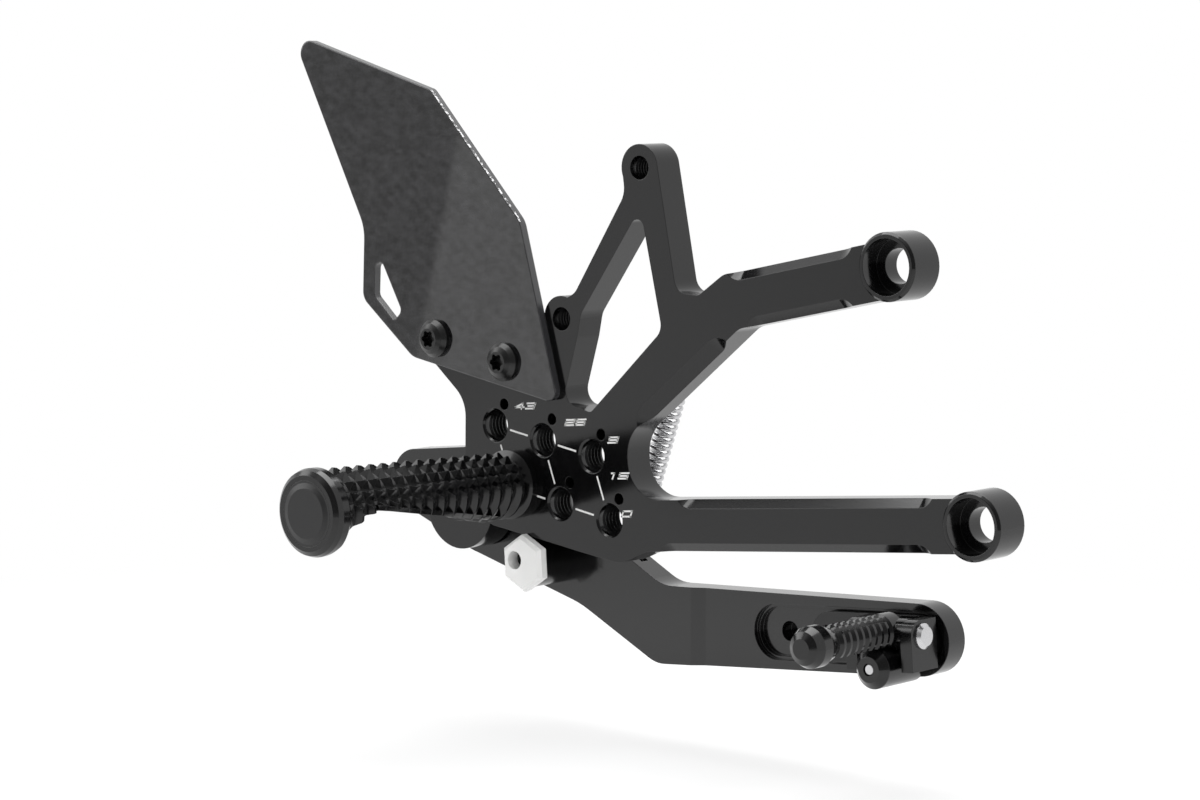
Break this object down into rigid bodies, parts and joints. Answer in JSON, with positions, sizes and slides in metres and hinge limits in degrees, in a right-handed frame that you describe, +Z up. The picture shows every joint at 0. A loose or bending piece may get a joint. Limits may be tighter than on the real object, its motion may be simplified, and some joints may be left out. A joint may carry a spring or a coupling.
{
  "type": "brake-side rear set footrest",
  "caption": "Machined footrest bracket for a motorcycle, with a bolted footpeg, heel guard, sprung brake pedal behind it and a folding toe tip.",
  "frame": {"origin": "centre of the lower frame bolt hole, on the bracket face that lies against the frame", "axes": "+X forwards along the motorcycle, +Z up, -Y outwards, the way the footpeg points"},
  "size_m": [0.2305, 0.0964, 0.1576],
  "materials": {
    "black_aluminium": "black anodised, satin",
    "carbon": "clear coated twill weave",
    "black_steel": "black oxide",
    "bright_steel": "bright, ground",
    "white_plastic": "smooth moulded",
    "black_plastic": "fine matt"
  },
  "bodies": {
    "bracket": {"bracket_plate": "black_aluminium", "heel_guard": "carbon", "heel_guard_screws": "black_steel", "footpeg": "black_aluminium", "footpeg_stud": "bright_steel", "footpeg_dowel": "bright_steel", "footpeg_end_cap": "black_plastic", "pivot_bolt": "black_steel", "pivot_washer": "bright_steel", "return_spring": "bright_steel", "spring_post": "black_steel"},
    "pedal": {"brake_pedal": "black_aluminium", "pivot_bearing_outer": "bright_steel", "pivot_bearing_inner": "bright_steel", "pedal_stop": "white_plastic", "pedal_stop_sleeve": "black_aluminium", "pedal_stop_screw": "black_steel", "spring_pin": "bright_steel", "toe_carrier": "black_aluminium", "carrier_screw": "black_steel", "toe_grub_screw": "bright_steel", "toe_hinge_pin": "bright_steel", "toe_hinge_clip": "bright_steel", "toe_hinge_spring": "bright_steel"},
    "toe_tip_peg": {"toe_tip": "black_aluminium"}
  },
  "joints": [
    {"name": "brake_pedal_pivot", "type": "hinge", "parent": "bracket", "child": "pedal", "pos_m": [-0.1655, 0.005, -0.01], "axis": [0, 1, 0], "range_deg": [0, 10], "stiffness_Nm_per_rad": 2, "springref_deg": -20.05, "deforming": ["return_spring"]},
    {"name": "toe_tip_fold", "type": "hinge", "parent": "pedal", "child": "toe_tip_peg", "pos_m": [-0.02476, -0.005, -0.02872], "axis": [-0.9973, 0, -0.0732], "range_deg": [0, 50], "stiffness_Nm_per_rad": 0.02, "springref_deg": -28.65, "deforming": ["toe_hinge_spring"]}
  ]
}
